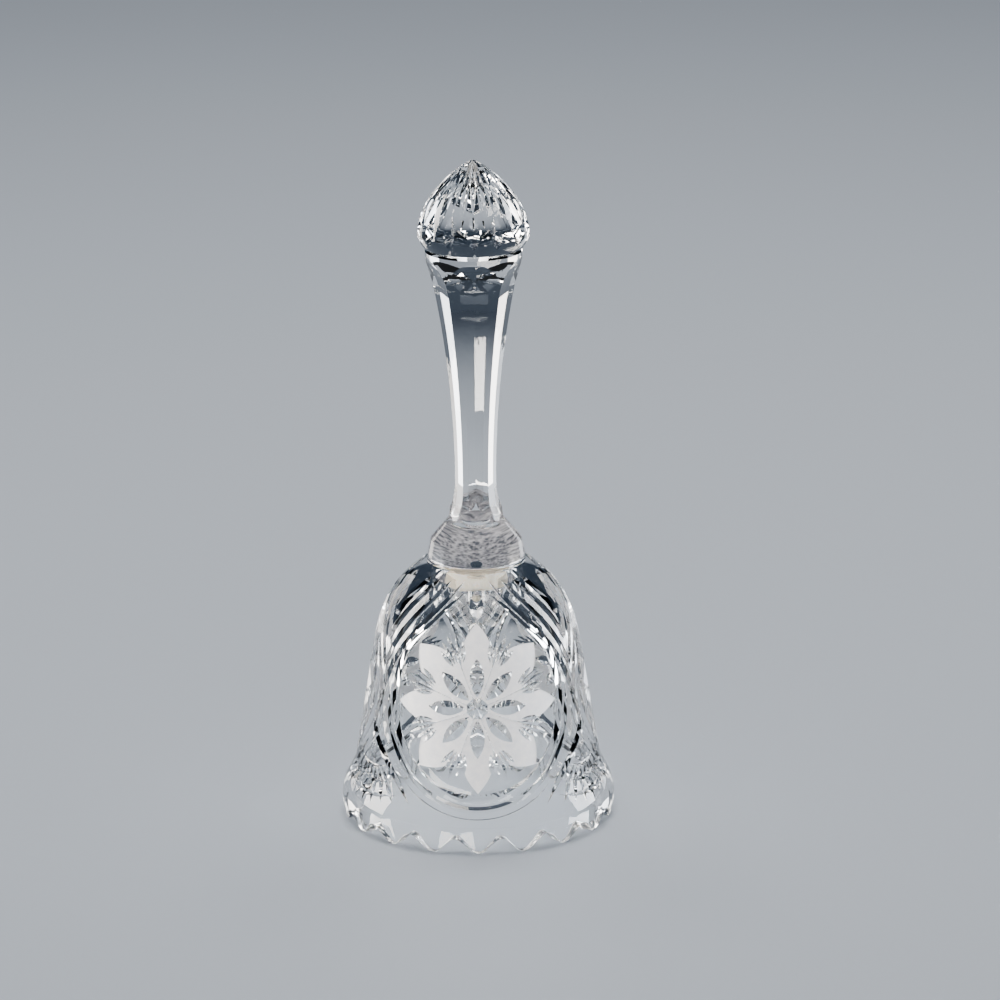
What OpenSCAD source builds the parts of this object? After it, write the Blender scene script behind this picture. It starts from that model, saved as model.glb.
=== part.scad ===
// Cut-glass hand bell: a scalloped glass cup, a five-sided glass stem, a cut glass knob,
// and a glass ball clapper that swings on a wire chain inside the cup.
// Z points up. The origin is the middle of the mouth, at the height of the scallop tips.

/* [Cup] */
// Height of the cup, from the scallop tips to the flat top of the crown
cup_h = 75.5; // [68:0.5:90]
// Radius of the mouth, before the swell of the rim is added
rim_r = 37.5; // [34:0.1:44]
// Thickness of the glass wall
wall = 3.5; // [2.8:0.1:4.2]
// Radius that the side loses for each mm of height
side_taper = 0.16; // [0.12:0.01:0.2]
// Thickness of the glass over the hollow, at the crown
crown_t = 6; // [5:0.5:8]
// Height over which the outside curves in to the crown
shoulder_h = 30; // [26:1:34]
// Height over which the inside curves in to its roof
roof_curve_h = 28; // [24:1:32]
// How much the rim swells outwards
swell = 2.4; // [1:0.1:2.6]
// Height at which the swelling of the rim is greatest
swell_z = 7.5; // [6.5:0.5:9]
// Height at which the swelling of the rim begins
swell_h = 17; // [15:1:20]

/* [Scallops] */
// Number of scallop tips round the mouth
scallops = 18; // [16:1:20]
// Depth of the cuts between the tips
scallop_depth = 4.5; // [3:0.1:5]
// Radius of the wheel that cuts them
scallop_r = 5; // [4.6:0.1:5.4]

/* [Stem] */
// Length of the stem, between its two bonded faces
stem_l = 89.6; // [75:0.1:110]
// Radius of the round foot that stands on the crown
foot_r = 13.8; // [12:0.1:16]
// Radius of the round collar under the knob
collar_r = 13.6; // [12:0.1:16]
// Number of cut panels round the stem
panels = 5; // [5:1:6]
// Distance from the axis to a panel at the waist
waist_flat = 4.9; // [4.5:0.1:6.5]

/* [Knob] */
// Height of the knob
knob_h = 24.3; // [22:0.1:30]
// Radius of the knob at its widest
knob_r = 15.65; // [15:0.05:19]
// Number of almond cuts round the knob
almonds = 14; // [10:1:16]
// Depth of each almond cut
almond_depth = 1; // [0.6:0.1:1.4]

/* [Bonds] */
// Thickness of the cement film between two pieces of glass
bond_t = 0.3; // [0.2:0.05:0.5]

/* [Chain] */
// Thickness of the chain wire
wire_d = 0.9; // [0.7:0.05:1]
// Length of a link, outside
link_l = 6.7; // [6:0.1:7]
// Width of a link, outside
link_w = 4.6; // [4.2:0.1:5]
// Air left where two links touch
link_gap = 0.05; // [0.03:0.01:0.08]
// Radius of the cement plug that holds the chain in the roof
plug_r = 8; // [7:0.1:8.5]
// Height of the cement plug
plug_h = 3.5; // [3:0.1:4.5]
// How far the wire staple hangs below the plug
staple_drop = 4; // [3.5:0.1:5]

/* [Clapper] */
// Radius of the clapper ball
ball_r = 6; // [5:0.1:7]
// Radius of the eye ring on the ball, to the middle of its wire
eye_r = 1.6; // [1.5:0.05:1.8]
// Depth of the hole that the eye's shank is cemented into
shank_l = 5; // [3:0.1:6]

/* [Hidden] */
$fn = 96;
LINKS = 6;

glass = "lightcyan";
cement = "ivory";
chrome = "silver";
over = 1;                                        // how far a cutter passes the surface it cuts
wire_sides = 32;                                 // facets round a wire

shoulder_power = 3.4;                            // how sharply the side turns in at the shoulder
profile_steps = 32;
crown_r = foot_r + 0.3;                          // the crown is a hair wider than the foot on it
roof_z = cup_h - crown_t;
roof_r = plug_r + 1;
crown_edge = 0.8;                                // round on the crown's and the foot's edge

stem_z = cup_h + bond_t;
collar_top_r = collar_r - 0.6;                   // radius of the face that the knob is bonded to
knob_bond_z = stem_z + stem_l;
knob_z = knob_bond_z + bond_t;

staple_z = roof_z - plug_h - staple_drop;        // middle of the wire at the staple's lowest point
bend_r = (link_w - wire_d) / 2;                  // bend of a link, to the middle of its wire
pitch = link_l - 2 * wire_d - link_gap;          // drop from one link's pivot to the next
eye_pivot_z = staple_z - LINKS * pitch;          // lowest point of the last link
eye_z = eye_pivot_z + wire_d + link_gap - eye_r;
ball_z = eye_z - eye_r - ball_r;
shank_r = wire_d / 2 + 0.15;
seat_r = shank_r + 0.6;                          // the flat on the ball under the eye
seat_gap = 0.05;                                 // between that flat and the eye
leg_cover = 1;                                   // cement over the ends of the staple
plug_edge = 1.5;                                 // bevel round the plug's lower edge

function arc(centre, radius, from, to, steps = 6, first = 0) =
  [for (i = [first:steps])
    let (a = from + (to - from) * i / steps) centre + radius * [cos(a), sin(a)]];

// Radius of a side that tapers from base_r and then curves in to end_r at height top_z.
function curved_side(z, base_r, end_r, top_z, curve_h) =
  let (
    drop = base_r - side_taper * top_z - end_r,
    share = max(0, z - top_z + curve_h) / curve_h
  )
  base_r - side_taper * z - drop * pow(share, shoulder_power);

function swell_at(z) =
  let (share = min(1, abs(z - swell_z) / (swell_h - swell_z)))
  swell * pow(1 - share * share, 2);
function outer_r(z) = curved_side(z, rim_r, crown_r, cup_h, shoulder_h) + swell_at(z);
function inner_r(z) = curved_side(z, rim_r - wall, roof_r, roof_z, roof_curve_h);

module bell_cup() {
  outer_top = cup_h - crown_edge;
  outside = [for (i = [0:profile_steps]) let (z = outer_top * i / profile_steps) [outer_r(z), z]];
  inside = [for (i = [profile_steps:-1:0]) let (z = roof_z * i / profile_steps) [inner_r(z), z]];
  color(glass, 0.5)
  difference() {
    rotate_extrude()
      polygon(concat(outside, [[crown_r - crown_edge, cup_h], [0, cup_h], [0, roof_z]], inside));
    for (i = [0:scallops - 1])
      rotate([0, 0, 360 * (i + 0.5) / scallops - 90])
        translate([rim_r / 2, 0, scallop_depth - scallop_r])
          rotate([0, 90, 0]) cylinder(r = scallop_r, h = rim_r);
  }
}

// Side view of what the wheels remove from one side of the stem: a long shallow sweep above
// the waist, a short flare below it, and a tighter run-out at each end.
function panel_section() =
  let (
    sweep_r = 330,
    flare_r = 35,
    end_r = 4,
    run_r = 30,
    waist_z = 21.7,
    flare_z = 11,
    run_z = stem_l - 12.7,
    flare_turn = asin((waist_z - flare_z) / flare_r),
    sweep_turn = asin((run_z - waist_z) / sweep_r),
    flare_c = [waist_flat + flare_r, waist_z],
    sweep_c = [waist_flat + sweep_r, waist_z],
    end_c = flare_c + (flare_r - end_r) * [-cos(flare_turn), -sin(flare_turn)],
    run_c = sweep_c + (sweep_r - run_r) * [-cos(sweep_turn), sin(sweep_turn)],
    run_turn = asin((stem_l + over - run_c[1]) / run_r),
    far = 2 * max(foot_r, collar_r)
  )
  concat(
    [[far, end_c[1] - end_r]],
    arc(end_c, end_r, 270, 180 + flare_turn),
    arc(flare_c, flare_r, 180 + flare_turn, 180, first = 1),
    arc(sweep_c, sweep_r, 180, 180 - sweep_turn, first = 1),
    arc(run_c, run_r, 180 - sweep_turn, 180 - run_turn, first = 1),
    [[far, stem_l + over]]
  );

module stem() {
  foot_top_z = 5.4;
  foot_top_r = foot_r - 1;
  neck_r = 1.62 * waist_flat;                    // the blank only just reaches past the arrises
  neck_z = 10.5;
  spread_z = 45;
  collar_low_z = stem_l - 8.5;
  collar_low_r = collar_r - 0.5;
  collar_z = stem_l - 1;
  blank = concat(
    [[0, 0]],
    arc([foot_r - crown_edge, crown_edge], crown_edge, -90, 0),
    [
      [foot_top_r, foot_top_z],
      [neck_r, neck_z],
      [neck_r, spread_z],
      [collar_low_r, collar_low_z],
      [collar_r, collar_z],
      [collar_top_r, stem_l],
      [0, stem_l]
    ]
  );
  color(glass, 0.5)
  translate([0, 0, stem_z])
    difference() {
      rotate_extrude() polygon(blank);
      for (i = [0:panels - 1])
        rotate([0, 0, 360 * i / panels - 90])
          rotate([90, 0, 0])
            linear_extrude(height = 4 * foot_r, center = true) polygon(panel_section());
    }
}

// A wheel with a V edge, standing in the XZ plane.
module vee_wheel(radius, half_w) {
  slope = 1.65;                                  // width of the V for each mm of depth
  rotate([90, 0, 0])
    rotate_extrude()
      polygon([[0, -half_w], [radius - half_w / slope, -half_w], [radius, 0],
               [radius - half_w / slope, half_w], [0, half_w]]);
}

module knob() {
  belly_z = 3.4;
  base_r = collar_r + 0.5;
  shelf_r = knob_r - 0.5;                        // half-way up from the base to the belly
  point_power = 1.8;                             // how long the belly lasts before it closes in
  tip_power = 0.82;                              // how blunt the point is
  rise = knob_h - belly_z;
  side = [for (i = [1:profile_steps - 1]) let (t = i / profile_steps)
           [knob_r * pow(1 - pow(t, point_power), tip_power), belly_z + rise * t]];
  wheel_r = 11.3;
  wheel_half_w = 4;
  almond_z = belly_z + 2.2;
  color(glass, 0.5)
  translate([0, 0, knob_z])
    difference() {
      rotate_extrude()
        polygon(concat([[0, 0], [base_r, 0], [shelf_r, belly_z / 2], [knob_r, belly_z]], side,
                       [[0, knob_h]]));
      for (i = [0:almonds - 1])
        rotate([0, 0, 360 * i / almonds - 90])
          translate([knob_r + wheel_r - almond_depth, 0, almond_z])
            vee_wheel(wheel_r, wheel_half_w);
    }
}

module stem_bond() {
  color(cement) translate([0, 0, cup_h]) cylinder(r = foot_r - crown_edge, h = bond_t);
}

module knob_bond() {
  color(cement) translate([0, 0, knob_bond_z]) cylinder(r = collar_top_r, h = bond_t);
}

module anchor_plug() {
  color(cement)
  difference() {
    translate([0, 0, roof_z - plug_h])
      rotate_extrude()
        polygon([[0, 0], [plug_r - plug_edge, 0], [plug_r, plug_edge], [plug_r, plug_h], [0, plug_h]]);
    for (side = [-1, 1])
      translate([side * bend_r, 0, roof_z - plug_h - over])
        cylinder(d = wire_d, h = plug_h - leg_cover + over);
  }
}

// Half of a wire bend in the XZ plane, open upwards, with its lowest point at the origin.
module wire_bend(radius) {
  translate([0, 0, radius])
    rotate([90, 0, 0]) rotate([0, 0, 180])
      rotate_extrude(angle = 180) translate([radius, 0]) circle(d = wire_d, $fn = wire_sides);
}

module anchor_staple() {
  leg = staple_drop + plug_h - leg_cover - bend_r;
  color(chrome)
  translate([0, 0, staple_z]) {
    wire_bend(bend_r);
    for (side = [-1, 1])
      translate([side * bend_r, 0, bend_r]) cylinder(d = wire_d, h = leg, $fn = wire_sides);
  }
}

// Link number n hangs from the piece above it, and every link is turned a quarter from the last.
module chain_link(n) {
  straight = link_l - wire_d - 2 * bend_r;
  bottom_z = staple_z - n * pitch;
  color(chrome)
  translate([0, 0, bottom_z]) rotate([0, 0, 90 * n]) {
    wire_bend(bend_r);
    translate([0, 0, 2 * bend_r + straight]) rotate([180, 0, 0]) wire_bend(bend_r);
    for (side = [-1, 1])
      translate([side * bend_r, 0, bend_r]) cylinder(d = wire_d, h = straight, $fn = wire_sides);
  }
}

module clapper_eye() {
  color(chrome)
  union() {
    translate([0, 0, eye_z]) rotate([0, 90, 0])
      rotate_extrude() translate([eye_r, 0]) circle(d = wire_d, $fn = wire_sides);
    translate([0, 0, eye_z - eye_r - shank_l]) cylinder(r = shank_r, h = shank_l);
  }
}

module clapper_ball() {
  color(glass, 0.5)
  difference() {
    translate([0, 0, ball_z]) sphere(ball_r);
    translate([0, 0, eye_z - eye_r - shank_l]) cylinder(r = shank_r, h = shank_l + over);
    translate([0, 0, eye_z - eye_r - wire_d / 2 - seat_gap]) cylinder(r = seat_r, h = over);
  }
}

bell_cup();
stem();
knob();
stem_bond();
knob_bond();
anchor_plug();
anchor_staple();
for (i = [1:LINKS])
  chain_link(i);
clapper_eye();
clapper_ball();
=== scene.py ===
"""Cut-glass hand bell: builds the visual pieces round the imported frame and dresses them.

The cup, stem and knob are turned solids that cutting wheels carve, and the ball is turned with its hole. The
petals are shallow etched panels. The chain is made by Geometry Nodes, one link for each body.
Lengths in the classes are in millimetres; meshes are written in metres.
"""
import logging
import math
from dataclasses import dataclass, field
from enum import Enum
from typing import Callable, Iterable, Sequence

import bmesh
import bpy
from mathutils import Matrix, Vector


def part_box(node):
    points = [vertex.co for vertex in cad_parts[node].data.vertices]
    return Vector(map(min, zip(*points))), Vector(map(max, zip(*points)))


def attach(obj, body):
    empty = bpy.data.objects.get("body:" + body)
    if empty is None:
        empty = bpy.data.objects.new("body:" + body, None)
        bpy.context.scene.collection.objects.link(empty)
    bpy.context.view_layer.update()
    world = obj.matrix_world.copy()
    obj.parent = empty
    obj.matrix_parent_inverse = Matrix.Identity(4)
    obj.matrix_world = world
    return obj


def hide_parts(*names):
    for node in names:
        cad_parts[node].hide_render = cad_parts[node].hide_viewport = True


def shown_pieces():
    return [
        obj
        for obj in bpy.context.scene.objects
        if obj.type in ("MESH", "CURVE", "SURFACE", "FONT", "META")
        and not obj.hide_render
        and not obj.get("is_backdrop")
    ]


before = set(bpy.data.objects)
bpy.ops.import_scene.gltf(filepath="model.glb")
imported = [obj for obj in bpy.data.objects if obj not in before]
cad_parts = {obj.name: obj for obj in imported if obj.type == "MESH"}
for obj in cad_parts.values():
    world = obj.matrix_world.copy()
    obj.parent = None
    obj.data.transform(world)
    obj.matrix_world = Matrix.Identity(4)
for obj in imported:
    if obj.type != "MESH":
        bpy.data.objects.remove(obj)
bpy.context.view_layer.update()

MM = 0.001
LOG = logging.getLogger("bell")

Spot = tuple[float, float]          # (turn in degrees from the front, height in mm)
Outline = list[tuple[float, float]]  # (radius, height) pairs, in mm


# ---------------------------------------------------------------------------
# Mesh helpers
# ---------------------------------------------------------------------------

class Solid:
    """Vertices and faces of one or more closed shells, in millimetres."""

    def __init__(self) -> None:
        """Starts with nothing in it."""
        self.verts: list[Vector] = []
        self.faces: list[tuple[int, ...]] = []

    def add(self, verts: Iterable[Vector], faces: Iterable[Sequence[int]]) -> None:
        """Adds one shell.

        Args:
            verts: the shell's vertices.
            faces: the shell's faces, which count from the shell's first vertex.
        """
        first = len(self.verts)
        self.verts.extend(verts)
        self.faces.extend(tuple(first + i for i in face) for face in faces)

    def to_object(self, name: str, material: bpy.types.Material | None = None) -> bpy.types.Object:
        """Writes the shells as one object in metres.

        Args:
            name: the object's name.
            material: what it is made of.

        Returns:
            The new object, at the origin.
        """
        mesh = bpy.data.meshes.new(name)
        mesh.from_pydata([v * MM for v in self.verts], [], self.faces)
        mesh.validate()
        if material:
            mesh.materials.append(material)
        piece = bpy.data.objects.new(name, mesh)
        bpy.context.scene.collection.objects.link(piece)
        return piece


def ring_faces(rows: int, columns: int, closed: bool = False) -> list[tuple[int, ...]]:
    """Quads between rings of vertices that are laid out ring by ring.

    Args:
        rows: how many rings there are.
        columns: how many vertices each ring has.
        closed: whether the last ring joins the first.

    Returns:
        The faces.
    """
    faces = []
    for row in range(rows if closed else rows - 1):
        here, there = row * columns, (row + 1) % rows * columns
        for i in range(columns):
            j = (i + 1) % columns
            faces.append((here + i, here + j, there + j, there + i))
    return faces


def arc(centre: Spot, radius: float, start: float, end: float, steps: int = 6) -> Outline:
    """Points on an arc of an outline.

    Args:
        centre: the arc's centre, as radius and height.
        radius: the arc's radius.
        start: its first angle in degrees, from outwards to upwards.
        end: its last angle.
        steps: how many straight stretches it has.

    Returns:
        The points, both ends included.
    """
    turns = [math.radians(start + (end - start) * i / steps) for i in range(steps + 1)]
    return [(centre[0] + radius * math.cos(a), centre[1] + radius * math.sin(a)) for a in turns]


def lathe(outline: Outline, columns: int,
          shift: Callable[[float, float, float], Spot] | None = None) -> Solid:
    """Turns an outline round Z into a closed solid.

    Args:
        outline: points from the lower pole round the outside to the upper pole, each at radius 0.
        columns: how many vertices each ring has.
        shift: moves a point, given its turn in degrees, radius and height.

    Returns:
        The solid, with its faces outwards where the outline runs upwards on the outside.
    """
    solid = Solid()
    verts = [Vector((0, 0, outline[0][1]))]
    for radius, height in outline[1:-1]:
        for i in range(columns):
            turn = 360 * i / columns
            r, z = shift(turn, radius, height) if shift else (radius, height)
            verts.append(around(turn, r, z))
    verts.append(Vector((0, 0, outline[-1][1])))
    rows, last = len(outline) - 2, len(verts) - 1
    faces = [tuple(1 + i for i in face) for face in ring_faces(rows, columns)]
    top = 1 + (rows - 1) * columns
    for i in range(columns):
        j = (i + 1) % columns
        faces.append((0, 1 + j, 1 + i))
        faces.append((last, top + i, top + j))
    solid.add(verts, faces)
    return solid


def around(turn: float, radius: float, height: float) -> Vector:
    """The point at a turn in degrees from the front, which is -Y, towards +X."""
    a = math.radians(turn)
    return Vector((radius * math.sin(a), -radius * math.cos(a), height))


def face_outwards(piece: bpy.types.Object) -> None:
    """Turns the faces of a piece's closed shells outwards.

    Args:
        piece: the piece, which keeps its mesh.
    """
    work = bmesh.new()
    work.from_mesh(piece.data)
    bmesh.ops.recalc_face_normals(work, faces=work.faces)
    work.to_mesh(piece.data)
    work.free()


def bake_modifiers(piece: bpy.types.Object) -> None:
    """Replaces a piece's mesh with what its modifiers make, and removes the modifiers.

    Args:
        piece: the piece whose modifiers are applied.
    """
    graph = bpy.context.evaluated_depsgraph_get()
    mesh = bpy.data.meshes.new_from_object(piece.evaluated_get(graph))
    old, name = piece.data, piece.data.name
    piece.modifiers.clear()
    piece.data = mesh
    bpy.data.meshes.remove(old)
    mesh.name = name


def carve(piece: bpy.types.Object, tool: bpy.types.Object, overlapping: bool = False) -> None:
    """Cuts a tool's shape out of a piece, and throws the tool away.

    Args:
        piece: the solid that is cut.
        tool: the closed shapes that are taken away. Their material goes on the cut.
        overlapping: whether the tool's shapes run into one another.
    """
    cut = piece.modifiers.new("cut", "BOOLEAN")
    cut.operation = "DIFFERENCE"
    cut.solver = "EXACT" if overlapping else "MANIFOLD"
    cut.use_self = overlapping
    cut.material_mode = "TRANSFER"
    cut.object = tool
    bake_modifiers(piece)
    mesh = tool.data
    bpy.data.objects.remove(tool)
    bpy.data.meshes.remove(mesh)


def smooth(piece: bpy.types.Object, crease: float) -> None:
    """Shades a piece smooth, apart from its sharp edges.

    Args:
        piece: the piece.
        crease: the turn in degrees from which an edge stays sharp.
    """
    for face in piece.data.polygons:
        face.use_smooth = True
    piece.data.set_sharp_from_angle(angle=math.radians(crease))


# ---------------------------------------------------------------------------
# Geometry Nodes
# ---------------------------------------------------------------------------

class Graph:
    """A node group being built, and short ways to fill it."""

    def __init__(self, group: bpy.types.NodeTree) -> None:
        """Starts on a group."""
        self.group = group

    def node(self, kind: str, **settings: object) -> bpy.types.Node:
        """Adds a node.

        Args:
            kind: the node's type.
            settings: properties of the node and their values.

        Returns:
            The node.
        """
        made = self.group.nodes.new(kind)
        for key, value in settings.items():
            setattr(made, key, value)
        return made

    def link(self, source: bpy.types.NodeSocket, target: bpy.types.NodeSocket) -> None:
        """Joins two sockets."""
        self.group.links.new(source, target)

    def feed(self, target: bpy.types.NodeSocket, value: object) -> None:
        """Gives a socket a value, or joins it to the socket given.

        Args:
            target: the input that is fed.
            value: a number or colour, or the output to join it to.
        """
        if isinstance(value, bpy.types.NodeSocket):
            self.link(value, target)
        else:
            target.default_value = value

    def math(self, operation: str, a: object, b: object = 0.0) -> bpy.types.NodeSocket:
        """Adds a Math node.

        Args:
            operation: what the node does.
            a: its first socket or number.
            b: its second.

        Returns:
            The output with the result.
        """
        made = self.node("ShaderNodeMath", operation=operation)
        self.feed(made.inputs[0], a)
        self.feed(made.inputs[1], b)
        return made.outputs[0]


class Tree(Graph):
    """A Geometry Nodes tree with named inputs, and the means to run it on a piece."""

    def __init__(self, name: str) -> None:
        """Makes an empty tree.

        Args:
            name: the tree's name.
        """
        super().__init__(bpy.data.node_groups.new(name, "GeometryNodeTree"))
        self.sockets: dict[str, str] = {}
        self.add_input("Geometry", "NodeSocketGeometry")
        self.group.interface.new_socket("Geometry", in_out="OUTPUT", socket_type="NodeSocketGeometry")
        self.inlet = self.node("NodeGroupInput")
        self.outlet = self.node("NodeGroupOutput")

    def add_input(self, name: str, kind: str) -> None:
        """Adds a named input."""
        made = self.group.interface.new_socket(name, in_out="INPUT", socket_type=kind)
        self.sockets[name] = made.identifier

    def end(self, geometry: bpy.types.NodeSocket) -> None:
        """Closes the tree: instances are realized, and the Material input is set.

        Args:
            geometry: what the tree has made.
        """
        self.add_input("Material", "NodeSocketMaterial")
        real = self.node("GeometryNodeRealizeInstances")
        dress = self.node("GeometryNodeSetMaterial")
        self.link(geometry, real.inputs[0])
        self.link(real.outputs[0], dress.inputs["Geometry"])
        self.link(self.inlet.outputs["Material"], dress.inputs["Material"])
        self.link(dress.outputs[0], self.outlet.inputs[0])

    def run(self, piece: bpy.types.Object, **values: object) -> None:
        """Runs the tree on a piece and keeps the result as a plain mesh.

        Args:
            piece: the object whose mesh goes in and comes out.
            values: the tree's inputs, with their names in lower case and _ for a space.
        """
        made = piece.modifiers.new(self.group.name, "NODES")
        made.node_group = self.group
        named = {name.lower().replace(" ", "_"): key for name, key in self.sockets.items()}
        for name, value in values.items():
            made[named[name]] = value
        bake_modifiers(piece)


def copies_tree() -> Tree:
    """Builds the tree that sets copies of its geometry in a ring round Z.

    Returns:
        The tree, whose input is Count.
    """
    tree = Tree("ring_of_copies")
    tree.add_input("Count", "NodeSocketInt")
    line = tree.node("GeometryNodeMeshLine", mode="OFFSET")
    line.inputs["Offset"].default_value = (0, 0, 0)
    tree.link(tree.inlet.outputs["Count"], line.inputs["Count"])
    step = tree.math("DIVIDE", math.tau, tree.inlet.outputs["Count"])
    turn = tree.math("MULTIPLY", tree.node("GeometryNodeInputIndex").outputs[0], step)
    spin = tree.node("ShaderNodeCombineXYZ")
    tree.link(turn, spin.inputs["Z"])
    place = tree.node("GeometryNodeInstanceOnPoints")
    tree.link(line.outputs[0], place.inputs["Points"])
    tree.link(tree.inlet.outputs["Geometry"], place.inputs["Instance"])
    tree.link(spin.outputs[0], place.inputs["Rotation"])
    tree.end(place.outputs[0])
    return tree


def link_tree() -> Tree:
    """Builds the tree that bends one wire link with round ends, standing on edge.

    Returns:
        The tree, whose inputs are Wire, Length, Width, Bottom and Turn.
    """
    tree = Tree("wire_link")
    bend_steps, wire_sides, almost_half = 12, 20, 0.4999
    names = ("Wire", "Length", "Width", "Bottom", "Turn")
    for name in names:
        tree.add_input(name, "NodeSocketFloat")
    wire, length, width, bottom, turn = (tree.inlet.outputs[name] for name in names)
    shape = tree.node("GeometryNodeCurvePrimitiveQuadrilateral", mode="RECTANGLE")
    across = tree.math("SUBTRACT", width, wire)
    along = tree.math("SUBTRACT", length, wire)
    tree.link(across, shape.inputs["Width"])
    tree.link(along, shape.inputs["Height"])
    bend = tree.node("GeometryNodeFilletCurve", mode="POLY")
    bend.inputs["Count"].default_value = bend_steps
    tree.link(shape.outputs[0], bend.inputs["Curve"])
    tree.link(tree.math("MULTIPLY", across, almost_half), bend.inputs["Radius"])
    section = tree.node("GeometryNodeCurvePrimitiveCircle")
    section.inputs["Resolution"].default_value = wire_sides
    tree.link(tree.math("MULTIPLY", wire, 0.5), section.inputs["Radius"])
    sweep = tree.node("GeometryNodeCurveToMesh")
    tree.link(bend.outputs[0], sweep.inputs["Curve"])
    tree.link(section.outputs[0], sweep.inputs["Profile Curve"])
    stand = tree.node("GeometryNodeTransform")
    stand.inputs["Rotation"].default_value = (math.pi / 2, 0, 0)
    tree.link(sweep.outputs[0], stand.inputs["Geometry"])
    place = tree.node("GeometryNodeTransform")
    lift, spin = tree.node("ShaderNodeCombineXYZ"), tree.node("ShaderNodeCombineXYZ")
    tree.link(tree.math("ADD", bottom, tree.math("MULTIPLY", along, 0.5)), lift.inputs["Z"])
    tree.link(turn, spin.inputs["Z"])
    tree.link(stand.outputs[0], place.inputs["Geometry"])
    tree.link(lift.outputs[0], place.inputs["Translation"])
    tree.link(spin.outputs[0], place.inputs["Rotation"])
    tree.end(place.outputs[0])
    return tree


# ---------------------------------------------------------------------------
# Cutting on a turned wall
# ---------------------------------------------------------------------------

class Ease(Enum):
    """How deep a wheel goes along its cut."""

    LENS = "lens"      # out at both ends
    RUN = "run"        # full depth, with short run-outs

    def share(self, t: float) -> float:
        """How deep the wheel is.

        Args:
            t: the place along the cut, from 0 at the start to 1 at the end.

        Returns:
            The share of the full depth there.
        """
        if self is Ease.LENS:
            return 1 - (2 * t - 1) ** 2
        run_outs = 8        # a run-out is an eighth of the cut
        return math.sin(math.pi / 2 * min(1.0, run_outs * t, run_outs * (1 - t)))


class Wall:
    """The outside of a turned piece, which cuts are laid out on."""

    STEP = 0.25       # the height between two measured places, in mm
    REACH = 0.1       # how far above and below a spot its slope is taken, in mm

    def __init__(self, radius: Callable[[float], float], low: float, high: float) -> None:
        """Measures the way up the wall.

        Args:
            radius: the wall's radius at a height.
            low: the lowest height on it.
            high: the highest height on it.
        """
        self.radius, self.low = radius, low
        self.walked = [0.0]
        for i in range(int((high - low) / self.STEP)):
            z = low + i * self.STEP
            self.walked.append(self.walked[-1] + math.hypot(self.STEP, radius(z + self.STEP) - radius(z)))

    def climb(self, height: float, up: float) -> float:
        """Goes up the wall.

        Args:
            height: where the way starts.
            up: how far it goes up along the wall, in mm.

        Returns:
            The height that it reaches.
        """
        at = (height - self.low) / self.STEP
        i = int(at)
        goal = self.walked[i] + (at - i) * (self.walked[i + 1] - self.walked[i]) + up
        goal = min(max(goal, 0.0), self.walked[-1] - 1e-6)
        k = next(n for n in range(1, len(self.walked)) if self.walked[n] > goal)
        part = (goal - self.walked[k - 1]) / (self.walked[k] - self.walked[k - 1])
        return self.low + (k - 1 + part) * self.STEP

    def spot(self, centre: Spot, across: float, up: float) -> Spot:
        """The spot that lies across mm to the right and up mm up the wall from a centre."""
        height = self.climb(centre[1], up)
        return centre[0] + math.degrees(across / self.radius(height)), height

    def normal(self, spot: Spot) -> Vector:
        """The wall's outward normal.

        Args:
            spot: the spot.

        Returns:
            The normal, 1 long.
        """
        slope = (self.radius(spot[1] + self.REACH) - self.radius(spot[1] - self.REACH)) / (2 * self.REACH)
        out = around(spot[0], 1, 0)
        return Vector((out.x, out.y, -slope)).normalized()

    def point(self, spot: Spot, out: float = 0.0) -> Vector:
        """The point at a spot, out mm off the wall."""
        return around(spot[0], self.radius(spot[1]), spot[1]) + out * self.normal(spot)


@dataclass(frozen=True)
class Wheel:
    """A cutting wheel with a V edge.

    Args:
        depth: how deep it goes, in mm.
        spread: half the width of its V for each mm of depth.
        ease: how the depth changes along the cut.
    """

    depth: float
    spread: float = 1.5
    ease: Ease = Ease.LENS

    CLEAR = 0.3       # how far the tool stands off the wall, in mm
    LEAST = 0.03      # the depth left at the ends of a cut, in mm
    CORNERS = 3       # the V's edge and the two corners above it

    def cut(self, tools: Solid, wall: Wall, path: Callable[[float], Spot], steps: int = 20) -> None:
        """Adds the shape of one cut to the tools.

        Args:
            tools: what the cut's shape is added to.
            wall: the wall that is cut.
            path: the way of the wheel, from t = 0 to 1.
            steps: how many straight stretches the cut has.
        """
        spots = [path(i / steps) for i in range(steps + 1)]
        points = [wall.point(s) for s in spots]
        verts: list[Vector] = []
        for i, (spot, here) in enumerate(zip(spots, points)):
            ahead = points[min(i + 1, steps)] - points[max(i - 1, 0)]
            normal = wall.normal(spot)
            side = normal.cross(ahead).normalized()
            depth = max(self.LEAST, self.depth * self.ease.share(i / steps))
            half = self.spread * (depth + self.CLEAR)
            verts += [here - depth * normal, here + self.CLEAR * normal + half * side,
                      here + self.CLEAR * normal - half * side]
        last = self.CORNERS * steps
        faces = ring_faces(steps + 1, self.CORNERS) + [(2, 1, 0), (last, last + 1, last + 2)]
        tools.add(verts, faces)


# ---------------------------------------------------------------------------
# Cup
# ---------------------------------------------------------------------------

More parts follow.
